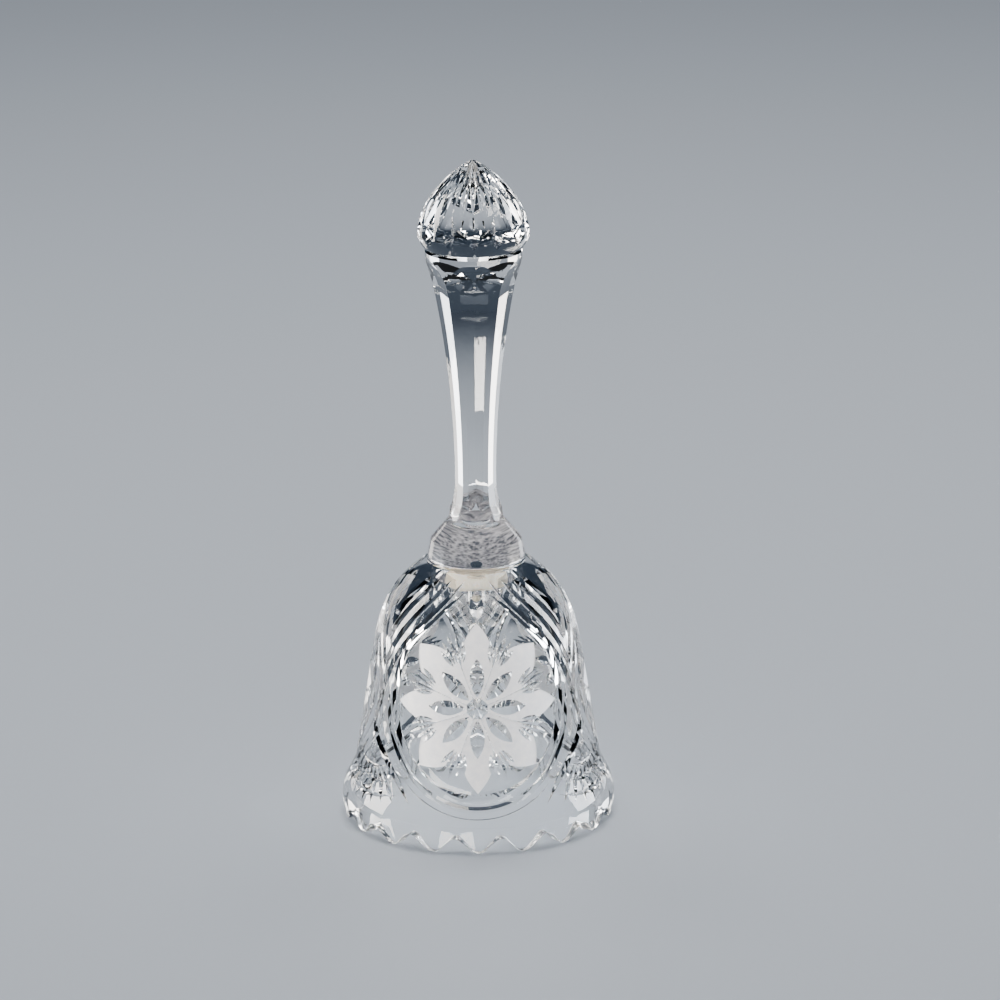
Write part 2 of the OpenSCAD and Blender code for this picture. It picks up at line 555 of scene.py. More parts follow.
@dataclass
class FlowerPattern:
    """One flower medallion and one side of the border to the next, laid out on the cup's wall.

    Lengths are in mm along the wall and turns in degrees. The petals on the upright cross are
    "upright" and the four between them "slanted".

    Args:
        wall: the wall that is cut.
    """

    wall: Wall
    centre: Spot = (0.0, 40.5)
    petals: int = 8
    petal_reach: float = 24.0
    petal_belly: float = 14.0
    petal_gap: float = 0.07
    upright_half_w: float = 4.4
    slanted_half_w: float = 5.7
    upright_half_a: float = 20.5
    upright_power: float = 2.2
    slanted_power: float = 2.4
    tip_half_w: float = 0.06
    recess: float = 0.14
    almond_wheel: Wheel = Wheel(1.55, 1.5)
    almond_start: float = 3.0
    almond_l: float = 11.4
    hub_r: float = 2.9
    hub_notch: float = 0.6
    hub_depth: float = 0.9
    ray_wheel: Wheel = Wheel(0.75, 1.05)
    fan_root: float = 9.6
    ray_start: float = 3.6
    ray_l: float = 8.6
    ray_less: float = 1.1
    ray_lean: float = 11.0
    ring_wheel: Wheel = Wheel(1.05, 1.25, Ease.RUN)
    ring_r: float = 25.8
    apex: float = 36.0
    outer_wheel: Wheel = Wheel(0.75, 1.2, Ease.RUN)
    outer_ring_r: float = 28.6
    outer_half_a: float = 96.0
    line_wheel: Wheel = Wheel(0.16, 1.2, Ease.RUN)
    line_r: float = 31.4
    line_half_a: float = 42.0
    drop_wheel: Wheel = Wheel(1.2, 1.7)
    drop_start: float = 24.4
    drop_l: float = 9.6
    border: float = 60.0
    long_wheel: Wheel = Wheel(0.85, 1.3, Ease.RUN)
    long_crown: Spot = (11.0, 73.4)
    cross_z: float = 38.0
    knot_z: float = 28.5
    knot_half_w: float = 2.7
    long_end: Spot = (32.0, 12.6)
    band_wheel: Wheel = Wheel(0.8, 1.3, Ease.RUN)
    band_top: float = 73.2
    band_gap: float = 0.8
    band_power: float = 1.6
    band_ends: tuple[Spot, ...] = ((24.0, 47.5), (36.0, 55.5), (47.0, 62.5))
    low_ray_wheel: Wheel = Wheel(0.75, 1.2)
    low_fan_z: float = 26.5
    low_ray_turn: float = 6.4
    low_ray_l: float = 16.8
    low_ray_less: float = 0.7
    low_arc_wheel: Wheel = Wheel(0.6, 1.2)
    low_arc_rise: float = 1.6
    low_arc_spots: tuple[Spot, ...] = ((10.5, 20.0), (16.0, 16.4), (20.5, 12.8))

    def polar(self, spoke: float, out: float, aside: float = 0.0) -> Spot:
        """A spot near a spoke of the flower.

        Args:
            spoke: the spoke's angle, from upwards to the right.
            out: the distance from the flower's centre.
            aside: the distance to the right of the spoke.

        Returns:
            The spot.
        """
        a = math.radians(spoke)
        return self.wall.spot(self.centre, out * math.sin(a) + aside * math.cos(a),
                              out * math.cos(a) - aside * math.sin(a))

    def spokes(self, shift: float = 0.0) -> list[float]:
        """The angles of the petals, or shift of a petal further round."""
        return [360 * (i + shift) / self.petals for i in range(self.petals)]

    def half_width(self, spoke: float, out: float) -> float:
        """How wide a petal is.

        Args:
            spoke: the petal's angle.
            out: the distance from the flower's centre.

        Returns:
            Half the petal's width there.
        """
        upright = spoke % 90 < 1
        widest = self.upright_half_w if upright else self.slanted_half_w
        half_a = self.upright_half_a if upright else 180 / self.petals * 2 - self.upright_half_a
        power = self.upright_power if upright else self.slanted_power
        sector = out * math.tan(math.radians(half_a)) - self.petal_gap
        if out < self.petal_belly:
            return min(sector, widest)
        share = (out - self.petal_belly) / (self.petal_reach - self.petal_belly)
        return min(sector, max(self.tip_half_w, widest * (1 - share ** power)))

    def petal_panels(self) -> Solid:
        """The shallow etched panels, one for each petal.

        Returns:
            The tools, which are closed slabs that follow the wall.
        """
        panels, rows, columns, clear = Solid(), 22, 8, 0.4
        for spoke in self.spokes():
            verts: list[Vector] = []
            for row in range(rows + 1):
                out = self.hub_r + (self.petal_reach - self.hub_r) * row / rows
                half = self.half_width(spoke, out)
                asides = [half * (2 * i / columns - 1) for i in range(columns + 1)]
                spots = [self.polar(spoke, out, aside) for aside in asides]
                verts += [self.wall.point(s, -self.recess) for s in spots]
                verts += [self.wall.point(s, clear) for s in reversed(spots)]
            ring = 2 * (columns + 1)
            faces = ring_faces(rows + 1, ring)
            faces += [tuple(reversed(range(ring))), tuple(rows * ring + i for i in range(ring))]
            panels.add(verts, faces)
        return panels

    def petal_cuts(self) -> Solid:
        """The polished almond cut along each petal.

        Returns:
            The tools.
        """
        tools = Solid()
        for spoke in self.spokes():
            def path(t: float, s: float = spoke) -> Spot:
                """Goes out along the petal."""
                return self.polar(s, self.almond_start + self.almond_l * t)

            self.almond_wheel.cut(tools, self.wall, path, 24)
        return tools

    def hub(self) -> Solid:
        """The star cut into the middle of the flower.

        Returns:
            The tool, which is deepest in the middle.
        """
        tools, points, clear = Solid(), 2 * self.petals, 0.3
        outs = [self.hub_r * (1.0 if i % 2 else self.hub_notch) for i in range(points)]
        spots = [self.polar(180 * i / self.petals, out) for i, out in enumerate(outs)]
        verts = [self.wall.point(self.centre, -self.hub_depth), self.wall.point(self.centre, clear)]
        verts += [self.wall.point(s) for s in spots]
        verts += [self.wall.point(s, clear) for s in spots]
        faces: list[tuple[int, ...]] = []
        for i in range(points):
            low, low_next = 2 + i, 2 + (i + 1) % points
            faces += [(0, low_next, low), (low, low_next, low_next + points, low + points),
                      (1, low + points, low_next + points)]
        tools.add(verts, faces)
        return tools

    def fans(self) -> Solid:
        """The fine rays between the petals.

        Returns:
            The tools, five for each gap.
        """
        tools = Solid()
        for spoke in self.spokes(0.5):
            for ray in range(-2, 3):
                lean = math.radians(self.ray_lean * ray)
                length = self.ray_l - self.ray_less * abs(ray)

                def path(t: float, s: float = spoke, a: float = lean, whole: float = length) -> Spot:
                    """Goes out along the ray, which leans from the fan's root."""
                    along = self.ray_start + whole * t
                    return self.polar(s, self.fan_root + along * math.cos(a), along * math.sin(a))

                self.ray_wheel.cut(tools, self.wall, path, 12)
        return tools

    def teardrop(self, radius: float, apex: float) -> Callable[[float], Spot]:
        """The way round a ring that is drawn up to a point.

        Args:
            radius: the ring's radius.
            apex: how far above the centre its two sides would meet.

        Returns:
            The path, from the left of the point round the bottom to the right of it.
        """
        lean = math.acos(radius / apex)
        side = math.sqrt(apex ** 2 - radius ** 2)
        bend = radius * (math.tau - 2 * lean)
        total = 2 * side + bend

        def path(t: float) -> Spot:
            """Goes down the left side, round, and up the right side.

            Args:
                t: the place on the way, from 0 to 1.

            Returns:
                The spot there.
            """
            way = t * total
            if way < side:
                return mix(-1, way / side)
            if way > side + bend:
                return mix(1, (total - way) / side)
            turn = math.degrees(-lean - (way - side) / radius)
            return self.polar(turn, radius)

        def mix(hand: int, share: float) -> Spot:
            """The spot a share of the way down a straight side."""
            x, z = radius * math.sin(lean), radius * math.cos(lean)
            return self.wall.spot(self.centre, hand * x * share, apex + (z - apex) * share)

        return path

    def ring(self) -> Solid:
        """The drawn-up ring round the flower, with a small gap at its point.

        Returns:
            The tool.
        """
        tools, gap = Solid(), 0.02
        path = self.teardrop(self.ring_r, self.apex)
        self.ring_wheel.cut(tools, self.wall, lambda t: path(gap + (1 - 2 * gap) * t), 120)
        return tools

    def lower_rings(self) -> Solid:
        """The outer ring under the flower, and the fine line under that.

        Returns:
            The two tools.
        """
        tools = Solid()
        for wheel, radius, half_a, steps in (
                (self.outer_wheel, self.outer_ring_r, self.outer_half_a, 80),
                (self.line_wheel, self.line_r, self.line_half_a, 50)):
            wheel.cut(tools, self.wall,
                      lambda t, r=radius, a=half_a: self.polar(180 - a + 2 * a * t, r), steps)
        return tools

    def drop(self) -> Solid:
        """The small almond above the top petal.

        Returns:
            The tool.
        """
        tools = Solid()
        self.drop_wheel.cut(tools, self.wall, lambda t: self.polar(0, self.drop_start + self.drop_l * t), 16)
        return tools

    def long_cut(self, hand: int) -> Solid:
        """The cut that comes down from the crown, crosses its neighbour twice, and runs out low.

        Args:
            hand: 1 for the cut on the flower's right, -1 for the left.

        Returns:
            The tool.
        """
        crown_turn, crown_z = self.long_crown
        low_turn, low_z = self.long_end
        upper, knot, lower = 0.6, 0.16, 0.24       # the shares of the way that the three parts take
        straight, curved, upper_power, lower_power = 0.12, 0.88, 1.9, 0.93

        def path(t: float) -> Spot:
            """Goes down to the first crossing, round the knot to the second, and out.

            Args:
                t: the place on the way, from 0 to 1.

            Returns:
                The spot there.
            """
            if t < upper:
                share = 1 - t / upper
                turn = self.border - (self.border - crown_turn) * (straight * share
                                                                   + curved * share ** upper_power)
                height = self.cross_z + (crown_z - self.cross_z) * share
            elif t < upper + knot:
                share = (t - upper) / knot
                turn = self.border + self.knot_half_w * math.sin(math.pi * share)
                height = self.cross_z + (self.knot_z - self.cross_z) * share
            else:
                share = (t - (upper + knot)) / lower
                turn = self.border + (low_turn - self.border) * share ** lower_power
                height = self.knot_z + (low_z - self.knot_z) * share
            return self.centre[0] + hand * turn, height

        tools = Solid()
        self.long_wheel.cut(tools, self.wall, path, 110)
        return tools

    def bands(self, hand: int) -> Solid:
        """The nested cuts between two flowers, from the crown to the border.

        Args:
            hand: 1 for the cuts on the flower's right, -1 for the left.

        Returns:
            The tools.
        """
        tools = Solid()
        edge = self.border - self.band_gap
        for crown_turn, low_z in self.band_ends:
            def path(t: float, turn: float = crown_turn, low: float = low_z) -> Spot:
                """Comes down from the crown and bends to run along the border."""
                share = 1 - t
                gone = edge - (edge - turn) * share ** self.band_power
                return self.centre[0] + hand * gone, low + (self.band_top - low) * share

            self.band_wheel.cut(tools, self.wall, path, 50)
        return tools

    def low_fan(self) -> Solid:
        """The rays under the border's lower crossing.

        Returns:
            The tools.
        """
        tools, skipped, rest = Solid(), 0.42, 0.58
        for ray in range(-3, 4):
            def path(t: float, n: int = ray) -> Spot:
                """Goes down along the ray, past the part next to the crossing."""
                way = skipped + rest * t
                fall = (self.low_ray_l - self.low_ray_less * abs(n)) * way
                return self.centre[0] + self.border + n * self.low_ray_turn * way, self.low_fan_z - fall

            self.low_ray_wheel.cut(tools, self.wall, path, 16)
        return tools

    def low_arcs(self) -> Solid:
        """The arcs that cross the rays, and leave small pointed studs between them.

        Returns:
            The tools.
        """
        tools, sunk = Solid(), 0.3
        for reach, height in self.low_arc_spots:
            def path(t: float, wide: float = reach, z: float = height) -> Spot:
                """Goes across from left to right, lowest in the middle."""
                way = 2 * t - 1
                return self.centre[0] + self.border + wide * way, z + self.low_arc_rise * (way * way - sunk)

            self.low_arc_wheel.cut(tools, self.wall, path, 24)
        return tools


@dataclass
class CutCup:
    """The cup: a turned glass shell with a waved rim, carved all over.

    Args:
        crystal: the polished glass.
        etched: the ground glass of the petals.
        copies: the tree that repeats a tool round the cup.
    """

    crystal: bpy.types.Material
    etched: bpy.types.Material
    copies: Tree
    mouth_r: float = 37.5
    wall_t: float = 3.5
    taper: float = 0.16
    crown_r: float = 14.1
    crown_t: float = 6.0
    roof_r: float = 9.0
    roof_bevel: Spot = (0.5, 0.4)
    shoulder_h: float = 30.0
    roof_curve_h: float = 28.0
    sharpness: float = 3.4
    edge_r: float = 0.8
    lip_r: float = 0.45
    swell: float = 2.34
    swell_z: float = 7.5
    swell_h: float = 17.0
    scallops: int = 18
    scallop_depth: float = 4.5
    tip_power: float = 1.08
    wave_h: float = 14.0
    flowers: int = 3
    columns: int = 540
    crease: float = 24.0
    height: float = field(init=False)

    def __post_init__(self) -> None:
        """Takes the height from the frame."""
        low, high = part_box("bell_cup")
        self.height = (high[2] - low[2]) / MM

    def side(self, z: float, base_r: float, end_r: float, top_z: float, curve_h: float) -> float:
        """The radius of a side that tapers, and curves in at the top.

        Args:
            z: the height.
            base_r: the radius at height 0.
            end_r: the radius at the top.
            top_z: the height of the top.
            curve_h: the height over which the side curves in.

        Returns:
            The radius at the height.
        """
        share = max(0.0, z - top_z + curve_h) / curve_h
        return base_r - self.taper * z - (base_r - self.taper * top_z - end_r) * share ** self.sharpness

    def outer(self, z: float) -> float:
        """The cup's outside.

        Args:
            z: the height.

        Returns:
            The outside radius there.
        """
        share = min(1.0, abs(z - self.swell_z) / (self.swell_h - self.swell_z))
        body = self.side(z, self.mouth_r, self.crown_r, self.height, self.shoulder_h)
        return body + self.swell * (1 - share ** 2) ** 2

    def inner(self, z: float) -> float:
        """The inside radius at a height."""
        roof_z = self.height - self.crown_t
        return self.side(z, self.mouth_r - self.wall_t, self.roof_r, roof_z, self.roof_curve_h)

    def wave(self, turn: float) -> float:
        """How far the rim is cut up at a turn: 0 at the tips, which are broader than the notches."""
        swing = (1 - math.cos(math.radians(turn) * self.scallops)) / 2
        return self.scallop_depth * swing ** self.tip_power

    def blank(self) -> bpy.types.Object:
        """Turns the shell and waves its rim.

        Returns:
            The shell before it is carved.
        """
        roof_z, edge, lip = self.height - self.crown_t, self.edge_r, self.lip_r
        rows_in, rows_out, spread, below_roof = 24, 60, 1.4, 1.2
        climb_in = roof_z - below_roof - lip
        heights_in = [lip + climb_in * (1 - (i / rows_in) ** spread) for i in range(rows_in + 1)]
        heights_out = [lip + (self.height - edge - lip) * i / rows_out for i in range(rows_out + 1)]
        inside = [(self.inner(z), z) for z in heights_in]
        outside = [(self.outer(z), z) for z in heights_out]
        rim = arc((self.inner(lip) + lip, lip), lip, 180, 270)[1:]
        rim += arc((self.outer(lip) - lip, lip), lip, 270, 360)[:-1]
        bevel_r, bevel_z = self.roof_bevel
        roof = [(0, roof_z), (self.roof_r - bevel_r, roof_z), (self.roof_r, roof_z - bevel_z)]
        crown = arc((self.crown_r - edge, self.height - edge), edge, 10, 90)[1:] + [(0, self.height)]

        def shift(turn: float, r: float, z: float) -> Spot:
            """Lifts the rim's wave, and keeps a wall's point on the wall.

            Args:
                turn: the point's turn.
                r: its radius.
                z: its height.

            Returns:
                Its new radius and height.
            """
            fade = max(0.0, 1 - z / self.wave_h) ** 2
            new_z = z + self.wave(turn) * fade
            side = self.outer if r > self.inner(z) + self.wall_t / 2 else self.inner
            return (r + side(new_z) - side(z), new_z) if fade else (r, z)

        shell = lathe(roof + inside + rim + outside + crown, self.columns, shift)
        return shell.to_object("cut_cup", self.crystal)

    def tool(self, shape: Solid, material: bpy.types.Material) -> bpy.types.Object:
        """Repeats a tool for every flower.

        Args:
            shape: the tool of one flower.
            material: what goes on the cut.

        Returns:
            The tool of all flowers.
        """
        made = shape.to_object("tool", material)
        face_outwards(made)
        self.copies.run(made, count=self.flowers, material=material)
        return made

    def build(self) -> bpy.types.Object:
        """Turns the shell and carves it.

        Returns:
            The finished cup.
        """
        cup = self.blank()
        face_outwards(cup)
        lowest, below_top = 0.5, 0.9
        wall = Wall(self.outer, lowest, self.height - below_top)
        flower = FlowerPattern(wall)
        carve(cup, self.tool(flower.petal_panels(), self.etched))
        shapes = [flower.hub(), flower.petal_cuts(), flower.fans(), flower.ring(),
                  flower.lower_rings(), flower.drop(), flower.long_cut(1), flower.long_cut(-1),
                  flower.bands(1), flower.bands(-1), flower.low_fan(), flower.low_arcs()]
        for shape in shapes:
            carve(cup, self.tool(shape, self.crystal))
            LOG.info("cup: %d faces", len(cup.data.polygons))
        smooth(cup, self.crease)
        return cup


# ---------------------------------------------------------------------------
# Stem and knob
# ---------------------------------------------------------------------------

@dataclass
class CutStem:
    """The five-sided stem: a turned blank with a long hollow panel ground down each side.

    Args:
        crystal: the polished glass.
        copies: the tree that repeats a panel round the stem.
    """

    crystal: bpy.types.Material
    copies: Tree
    foot_r: float = 13.8
    foot_top: Spot = (12.8, 5.4)
    edge_r: float = 0.8
    neck: Spot = (7.7, 11.4)
    spread_z: float = 45.0
    collar: Spot = (13.1, 81.1)
    collar_r: float = 13.6
    collar_bevel: Spot = (0.6, 1.0)
    panels: int = 5
    waist: float = 4.9
    waist_z: float = 21.7
    flare_r: float = 35.0
    flare_z: float = 11.4
    end_r: float = 1.6
    end_round: float = 4.6
    sweep_r: float = 330.0
    run_z: float = 76.9
    run_r: float = 30.0
    past_end: float = 1.0
    columns: int = 180
    crease: float = 22.0

    def panel_section(self, length: float) -> Outline:
        """The side view of one panel's wheels, as distances from the axis and heights.

        Args:
            length: the stem's length.

        Returns:
            The outline of what they take away.
        """
        flare = math.asin((self.waist_z - self.flare_z) / self.flare_r)
        sweep = math.asin((self.run_z - self.waist_z) / self.sweep_r)
        flare_c = (self.waist + self.flare_r, self.waist_z)
        sweep_c = (self.waist + self.sweep_r, self.waist_z)
        flare_less, sweep_less = self.flare_r - self.end_r, self.sweep_r - self.run_r
        end_c = (flare_c[0] - flare_less * math.cos(flare), flare_c[1] - flare_less * math.sin(flare))
        run_c = (sweep_c[0] - sweep_less * math.cos(sweep), sweep_c[1] + sweep_less * math.sin(sweep))
        flare_a, sweep_a = 180 + math.degrees(flare), 180 - math.degrees(sweep)
        top = length + self.past_end
        run_a = 180 - math.degrees(math.asin((top - run_c[1]) / self.run_r))
        far = 2 * self.collar_r
        return [(far, end_c[1] - self.end_r), *arc(end_c, self.end_r, 270, flare_a, 10),
                *arc(flare_c, self.flare_r, flare_a, 180, 10)[1:],
                *arc(sweep_c, self.sweep_r, 180, sweep_a, 40)[1:],
                *arc(run_c, self.run_r, sweep_a, run_a, 10)[1:], (far, top)]

    def rounded(self, aside: float, height: float) -> float:
        """Rounds the lower end of a panel.

        Args:
            aside: the point's distance from the panel's middle.
            height: its height on a square end.

        Returns:
            Its height on the rounded end.
        """
        near = min(abs(aside), self.end_round) / self.end_round
        lift = self.end_round * (1 - math.sqrt(1 - near ** 2))
        return height + lift * max(0.0, 1 - height / self.waist_z)

    def build(self) -> bpy.types.Object:
        """Turns the blank and grinds the panels.

        Returns:
            The finished stem.
        """
        low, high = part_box("stem")
        foot_z, length = low[2] / MM, (high[2] - low[2]) / MM
        bevel_r, bevel_z = self.collar_bevel
        foot_edge = arc((self.foot_r - self.edge_r, self.edge_r), self.edge_r, -90, 0)
        blank = [(0, 0), (self.foot_r - 2, 0), *foot_edge, self.foot_top, self.neck,
                 (self.neck[0], self.spread_z), self.collar, (self.collar_r, length - bevel_z),
                 (self.collar_r - bevel_r, length), (0, length)]
        turned = lathe([(r, z + foot_z) for r, z in blank], self.columns)
        stem = turned.to_object("cut_stem", self.crystal)
        section = self.panel_section(length)
        reach, count, steps = 2.2 * self.collar_r, len(section), 24
        asides = [self.end_round * math.sin(math.pi * (i / steps - 0.5)) for i in range(steps + 1)]
        asides = [-reach, *asides, reach]
        verts = [Vector((x, -r, foot_z + self.rounded(x, z))) for x in asides for r, z in section]
        last = len(verts) - count
        faces = ring_faces(len(asides), count) + [tuple(range(count)), tuple(range(last, last + count))]
        shape = Solid()
        shape.add(verts, faces)
        tool = shape.to_object("tool", self.crystal)
        face_outwards(tool)
        self.copies.run(tool, count=self.panels, material=self.crystal)
        face_outwards(stem)
        carve(stem, tool, overlapping=True)
        smooth(stem, self.crease)
        return stem


@dataclass
class CutKnob:
    """The knob: a turned drop with a ring of almond cuts, and fine flutes that run up to its point.

    Args:
        crystal: the polished glass.
        copies: the tree that repeats a cut round the knob.
    """

    crystal: bpy.types.Material
    copies: Tree
    base_r: float = 14.1
    shelf: Spot = (15.15, 1.7)
    belly: Spot = (15.65, 3.4)
    shoulder_power: float = 1.8
    point_power: float = 0.82
    almonds: int = 14
    almond_wheel: Wheel = Wheel(1.3, 1.45)
    almond_z: float = 5.6
    almond_half: float = 4.4
    almond_tail: float = 1.2
    flute_wheel: Wheel = Wheel(0.9, 1.2)
    flute_lap: float = 2.6
    flute_less: float = 1.0
    fine_wheel: Wheel = Wheel(0.7, 1.1)
    fine_gap: float = 1.7
    point_gap: float = 1.2
    columns: int = 280
    rows: int = 70
    crease: float = 24.0

    def build(self) -> bpy.types.Object:
        """Turns the drop and cuts it.

        Returns:
            The finished knob.
        """
        low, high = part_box("knob")
        base_z, height = low[2] / MM, (high[2] - low[2]) / MM
        rise = height - self.belly[1]

        def radius(z: float) -> float:
            """The drop's radius at a height, which is the belly's up to the belly."""
            t = min(1.0, max(0.0, (z - base_z - self.belly[1]) / rise))
            return self.belly[0] * (1 - t ** self.shoulder_power) ** self.point_power if t else self.belly[0]

        row_power, foot_bevel = 1.5, 1.5
        shares = [1 - (1 - i / self.rows) ** row_power for i in range(1, self.rows)]
        heights = [base_z + self.belly[1] + rise * share for share in shares]
        side = [(radius(z), z) for z in heights]
        foot = [(self.base_r - foot_bevel, 0.0), (self.base_r, 0.0), self.shelf, self.belly]
        outline = [(0, base_z), *((r, z + base_z) for r, z in foot), *side, (0, base_z + height)]
        knob = lathe(outline, self.columns).to_object("cut_knob", self.crystal)
        face_outwards(knob)
        wall = Wall(radius, base_z + 1, base_z + height - 1)
        low_z, high_z = base_z + self.almond_z - self.almond_half, base_z + self.almond_z + self.almond_half
        half_step = 180 / self.almonds
        top_z = base_z + height - self.point_gap
        cuts = ((self.almond_wheel, 0.0, low_z, high_z + self.almond_tail),
                (self.flute_wheel, half_step, high_z - self.flute_lap, top_z - self.flute_less),
                (self.fine_wheel, 0.0, high_z + self.fine_gap, top_z))
        for wheel, turn, start, end in cuts:
            shape = Solid()
            wheel.cut(shape, wall, lambda t, a=turn, b=start, c=end: (a, b + (c - b) * t), 26)
            tool = shape.to_object("tool", self.crystal)
            face_outwards(tool)
            self.copies.run(tool, count=self.almonds, material=self.crystal)
            carve(knob, tool)
        smooth(knob, self.crease)
        return knob


# ---------------------------------------------------------------------------
# Cement, chain and clapper
# ---------------------------------------------------------------------------

@dataclass
class CementFilm:
    """A thin cement film between two pieces of glass, with an uneven edge and perhaps a bubble.

    Args:
        node: the film's name in the frame.
        material: the cement.
        bubble: the bubble's distance from the axis, half width and half depth, or None.
        soak: how far the film reaches into the glass on each side.
        ragged: how far its edge stays inside the joint on average.
    """

    node: str
    material: bpy.types.Material
    bubble: tuple[float, float, float] | None = None
    soak: float = 0.03
    ragged: float = 0.3
    rings: int = 6
    bubble_sides: int = 40
    columns: int = 144

    def build(self) -> bpy.types.Object:
        """Spreads the film, and blows the bubble.

        Returns:
            The finished film.
        """
        low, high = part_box(self.node)
        radius = high[0] / MM
        bottom, top = low[2] / MM - self.soak, high[2] / MM + self.soak

        def spread(turn: float, r: float, z: float) -> Spot:
            """Draws the edge in and out a little.

            Args:
                turn: a point's turn.
                r: its radius.
                z: its height.

            Returns:
                Its new radius and its height.
            """
            a = math.radians(turn)
            wander = math.sin(3 * a + 1) + 0.6 * math.sin(7 * a) + 0.4 * math.sin(13 * a + 2)
            return r * (1 - self.ragged * (1 + wander / 2) / radius), z

        rims = [radius * (i + 1) / self.rings for i in range(self.rings)]
        outline = [(0, bottom), *((r, bottom) for r in rims), *((r, top) for r in reversed(rims)), (0, top)]
        film = lathe(outline, self.columns, spread).to_object(self.node + "_film", self.material)
        face_outwards(film)
        if self.bubble:
            out, half_w, half_d = self.bubble
            count = self.bubble_sides
            ring = [Vector((half_w * math.cos(a), -out + half_d * math.sin(a), 0))
                    for a in (math.tau * i / count for i in range(count))]
            shape = Solid()
            shape.add([v + Vector((0, 0, z)) for z in (bottom - 1, top + 1) for v in ring],
                      ring_faces(2, count) + [tuple(range(count)), tuple(range(count, 2 * count))])
            hole = shape.to_object("tool", self.material)
            face_outwards(hole)
            carve(film, hole)
        smooth(film, 30)
        return film


@dataclass
class PlasterPlug:
    """The lump of plaster in the cup's roof that holds the wire staple.

    Args:
        material: the plaster.
        soak: how far it reaches into the roof.
        sag: how far its underside bulges down.
        spread: its width as a share of the frame's.
    """

    material: bpy.types.Material
    soak: float = 0.03
    sag: float = 0.45
    spread: float = 1.04
    uneven: float = 0.02
    columns: int = 120

    def build(self) -> bpy.types.Object:
        """Presses the lump into the roof.

        Returns:
            The finished plug.
        """
        low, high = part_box("anchor_plug")
        radius, bottom, top = high[0] / MM, low[2] / MM, high[2] / MM + self.soak

        def press(turn: float, r: float, z: float) -> Spot:
            """Makes the lump uneven, most of all where it bulges down.

            Args:
                turn: a point's turn.
                r: its radius.
                z: its height.

            Returns:
                Its new radius and height.
            """
            a = math.radians(turn)
            waves = ((1.0, 2, 0.4), (0.7, 5, 2.0), (0.5, 9, 0.0), (0.3, 16, 0.0))
            wander = sum(size * math.sin(count * a + start) for size, count, start in waves)
            share = r / radius
            down = max(0.0, (top - z) / (top - bottom))
            lift = down * self.sag * (1 + wander / 2.2) * share
            return r * (self.spread - self.uneven * wander * share), z + lift

        profile = [(0.0, 0.0), (0.25, 0.0), (0.5, 0.02), (0.68, 0.05), (0.8, 0.12), (0.9, 0.26),
                   (0.96, 0.45), (0.99, 0.7), (1.01, 0.9), (1.03, 1.0), (0.6, 1.0), (0.0, 1.0)]
        outline = [(radius * r, bottom + (top - bottom) * z) for r, z in profile]
        plug = lathe(outline, self.columns, press).to_object("plaster_plug", self.material)
        face_outwards(plug)
        smooth(plug, 60)
        return plug


@dataclass
class Chain:
    """The wire staple and the links that hang from it, each on its own body."""

    material: bpy.types.Material
    links: int = 6

    def build(self) -> list[tuple[bpy.types.Object, str, str]]:
        """Bends the staple and the links.

        Returns:
            Each piece with its body and the node it stands for.
        """
        tree, made = link_tree(), []
        for i in range(self.links + 1):
            node = f"chain_link_{i}" if i else "anchor_staple"
            low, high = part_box(node)
            narrow, wide = sorted((high[0] - low[0], high[1] - low[1]))
            turn = math.pi / 2 if i % 2 else 0.0
            buried = 0.0 if i else wide / 6        # the staple's closed end, inside the plaster
            link = Solid().to_object(f"wire_link_{i}" if i else "wire_staple")
            tree.run(link, wire=narrow, length=high[2] - low[2] + buried, width=wide,
                     bottom=low[2] + narrow / 2, turn=turn, material=self.material)
            smooth(link, 40)
            made.append((link, f"link_{i}" if i else "bell", node))
        return made


